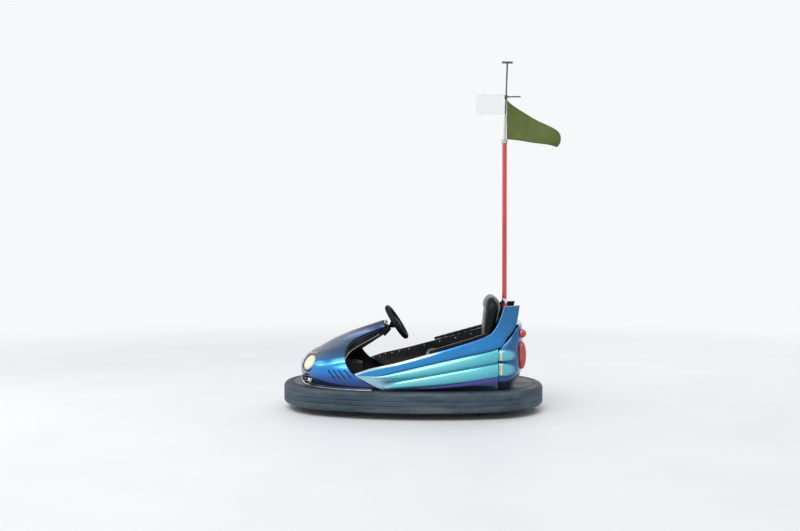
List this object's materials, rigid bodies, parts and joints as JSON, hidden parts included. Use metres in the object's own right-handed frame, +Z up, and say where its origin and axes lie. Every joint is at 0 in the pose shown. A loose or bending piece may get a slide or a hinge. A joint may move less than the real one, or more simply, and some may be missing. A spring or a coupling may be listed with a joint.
{
  "type": "fairground bumper car",
  "caption": "Fairground bumper car: oval rubber bumper, lofted nose, fluted side panels, bench seat, steered drive wheel in front, roof pick-up mast with blank sign and hanging flag",
  "frame": {"origin": "on the floor, under the middle of the car's overall length with its flag and of its width", "axes": "+X to the nose, +Y to the driver's left, +Z up"},
  "size_m": [2.085, 1.14, 2.6004],
  "materials": {
    "body_paint": "glossy colour-shift paint, blue to violet and light aqua",
    "bumper_rubber": "matt blue-grey moulded rubber, scuffed",
    "chassis_steel": "satin grey paint",
    "mat_rubber": "ribbed matt rubber",
    "trim_metal": "brushed",
    "lining_black": "matt moulded plastic",
    "vinyl_black": "glossy padded vinyl",
    "lamp_clear": "cream lens",
    "bezel_dark": "dark blue gloss",
    "grille_dark": "dark blue with bright bars",
    "lamp_white": "white lens",
    "lamp_red": "red ribbed lens",
    "lamp_amber": "pale amber lens",
    "boot_rubber": "matt rubber",
    "cap_beige": "satin beige bead",
    "column_grey": "satin black paint",
    "pole_red": "gloss red paint, worn",
    "mast_silver": "satin, dulled",
    "sign_white": "blank white sheet",
    "flag_cloth": "woven olive-green cloth",
    "motor_grey": "painted casting",
    "tyre_rubber": "solid rubber, worn",
    "hub_steel": "machined",
    "wheel_black": "soft padded black"
  },
  "bodies": {
    "chassis": {"chassis_pan": "chassis_steel", "bumper": "bumper_rubber", "drive_drum": "chassis_steel", "floor_mat": "mat_rubber", "nose_cowl": "body_paint", "cowl_trim": "trim_metal", "side_panel_left": "body_paint", "side_panel_right": "body_paint", "tail_cowl": "body_paint", "lining_left": "lining_black", "lining_right": "lining_black", "arm_pad_left": "vinyl_black", "arm_pad_right": "vinyl_black", "seat_base": "lining_black", "seat_cushion": "vinyl_black", "seat_back": "vinyl_black", "headlamps": "lamp_clear", "lamp_bezels": "bezel_dark", "nose_grilles": "grille_dark", "fog_lamps": "lamp_white", "tail_lamps": "lamp_red", "side_markers": "lamp_amber", "steering_column": "column_grey", "column_boot": "boot_rubber", "column_shroud": "lining_black", "cowl_cap": "cap_beige", "cowl_lip": "lining_black", "pedal": "trim_metal", "rear_axle": "chassis_steel", "pole_socket": "trim_metal", "pole": "pole_red", "upper_mast": "mast_silver", "sign_bar": "mast_silver", "sign_panel": "sign_white", "flag": "flag_cloth"},
    "drive_unit": {"drive_fork": "motor_grey", "drive_motor": "motor_grey"},
    "drive_wheel": {"drive_tyre": "tyre_rubber", "drive_hub": "hub_steel"},
    "steering_wheel": {"steering_rim": "wheel_black", "steering_hub": "wheel_black"},
    "rear_wheel_left": {"rear_tyre_left": "tyre_rubber", "rear_hub_left": "hub_steel"},
    "rear_wheel_right": {"rear_tyre_right": "tyre_rubber", "rear_hub_right": "hub_steel"}
  },
  "joints": [
    {"name": "drive_unit_swivel", "type": "hinge", "parent": "chassis", "child": "drive_unit", "pos_m": [0.62746, 0, 0.2], "axis": [0, 0, 1], "continuous": true},
    {"name": "steering_wheel_turn", "type": "hinge", "parent": "chassis", "child": "steering_wheel", "pos_m": [0.18746, 0, 0.643], "axis": [-0.8387, 0, 0.5446], "continuous": true},
    {"name": "drive_wheel_roll", "type": "hinge", "parent": "drive_unit", "child": "drive_wheel", "pos_m": [0.62746, 0, 0.1], "axis": [0, 1, 0], "continuous": true},
    {"name": "rear_wheel_left_roll", "type": "hinge", "parent": "chassis", "child": "rear_wheel_left", "pos_m": [-0.42054, 0.29, 0.1], "axis": [0, 1, 0], "continuous": true},
    {"name": "rear_wheel_right_roll", "type": "hinge", "parent": "chassis", "child": "rear_wheel_right", "pos_m": [-0.42054, -0.29, 0.1], "axis": [0, 1, 0], "continuous": true}
  ],
  "couplings": [
    {"joint": "steering_wheel_turn", "follows": "drive_unit_swivel", "ratio": 1}
  ]
}
